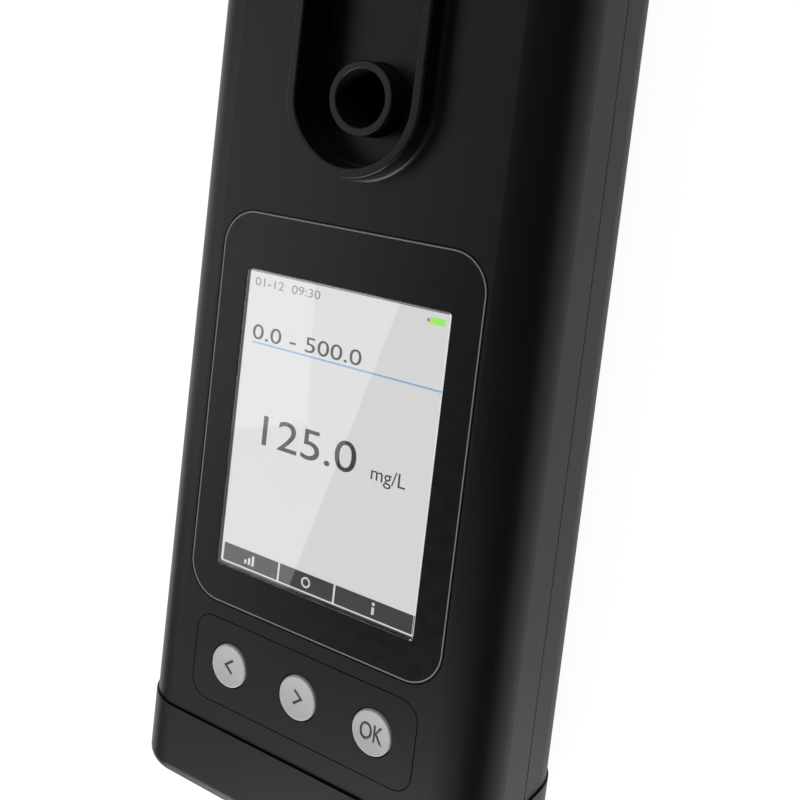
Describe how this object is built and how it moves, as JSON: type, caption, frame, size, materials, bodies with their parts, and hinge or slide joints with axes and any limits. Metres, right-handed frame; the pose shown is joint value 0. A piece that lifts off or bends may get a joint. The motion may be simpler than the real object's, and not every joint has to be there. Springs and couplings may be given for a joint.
{
  "type": "portable colorimeter",
  "caption": "Hand-held water colorimeter with a sample well in a guarded racetrack recess, a swinging light shield, colour display, round keys and a base cap.",
  "frame": {"origin": "under the middle of the outline, on the surface that the back rests on", "axes": "+Z out of the front face, +Y along the length towards the sample well end, +X to the right seen from the front"},
  "size_m": [0.088, 0.265, 0.062],
  "materials": {
    "casing": "fine spark-textured charcoal moulding",
    "shield": "fine spark-textured charcoal moulding",
    "panel": "smooth black printed panel with a thin light outline",
    "window": "clear hard-coated pane",
    "display": "lit display with plain numbers and icons",
    "display_light": "white light guide",
    "display_frame": "thin pressed frame",
    "ribbon": "amber film",
    "keypad": "satin black inlay",
    "keys": "satin light grey with black signs",
    "well": "satin black tube",
    "rubber": "soft black rubber",
    "seals": "black silicone",
    "felt": "black felt",
    "screws": "plain steel",
    "inserts": "turned brass",
    "washers": "thin flat steel",
    "contacts": "nickel plated spring metal",
    "cells": "plain wrapped cells",
    "tray": "plain black moulding",
    "board": "green solder mask",
    "chips": "black packages",
    "block": "dull black moulding",
    "optics": "blue filter glass",
    "lamp": "clear moulded lamp",
    "sensors": "metal can"
  },
  "bodies": {
    "housing": {"front_shell": "casing", "back_shell": "casing", "housing_gasket": "seals", "housing_inserts": "inserts", "housing_screws": "screws", "rest_pads": "rubber", "cap_inserts": "inserts", "battery_cells": "cells", "battery_tray": "tray", "battery_contacts": "contacts", "keypad_panel": "keypad", "key_domes": "contacts", "display_panel": "panel", "display_window": "window", "lcd_panel": "display", "lcd_backlight": "display_light", "lcd_frame": "display_frame", "display_ribbon": "ribbon", "main_board": "board", "board_parts": "chips", "board_screws": "screws", "sample_well": "well", "well_seal": "seals", "optical_block": "block", "block_screws": "screws", "optical_filters": "optics", "light_source": "lamp", "detectors": "sensors", "sensor_boards": "board", "lid_pivot_screw": "screws", "lid_washer": "washers", "lid_bearing": "washers", "pivot_insert": "inserts"},
    "end_cap": {"base_cap": "casing", "cap_seal": "seals", "cap_screws": "screws", "cap_springs": "contacts"},
    "shield": {"light_shield": "shield", "light_shield_felt": "felt"},
    "left_key": {"key_left": "keys"},
    "right_key": {"key_right": "keys"},
    "confirm_key": {"key_ok": "keys"}
  },
  "joints": [
    {"name": "shield_swing", "type": "hinge", "parent": "housing", "child": "shield", "pos_m": [0, 0.0652, 0.05], "axis": [0, 0, 1], "range_deg": [0, 180]},
    {"name": "cap_pull", "type": "slide", "parent": "housing", "child": "end_cap", "axis": [0, -1, 0], "range_m": [0, 0.03]},
    {"name": "left_key_press", "type": "slide", "parent": "housing", "child": "left_key", "axis": [0, 0, -1], "range_m": [0, 0.0006], "stiffness_N_per_m": 800},
    {"name": "right_key_press", "type": "slide", "parent": "housing", "child": "right_key", "axis": [0, 0, -1], "range_m": [0, 0.0006], "stiffness_N_per_m": 800},
    {"name": "confirm_key_press", "type": "slide", "parent": "housing", "child": "confirm_key", "axis": [0, 0, -1], "range_m": [0, 0.0006], "stiffness_N_per_m": 800}
  ]
}
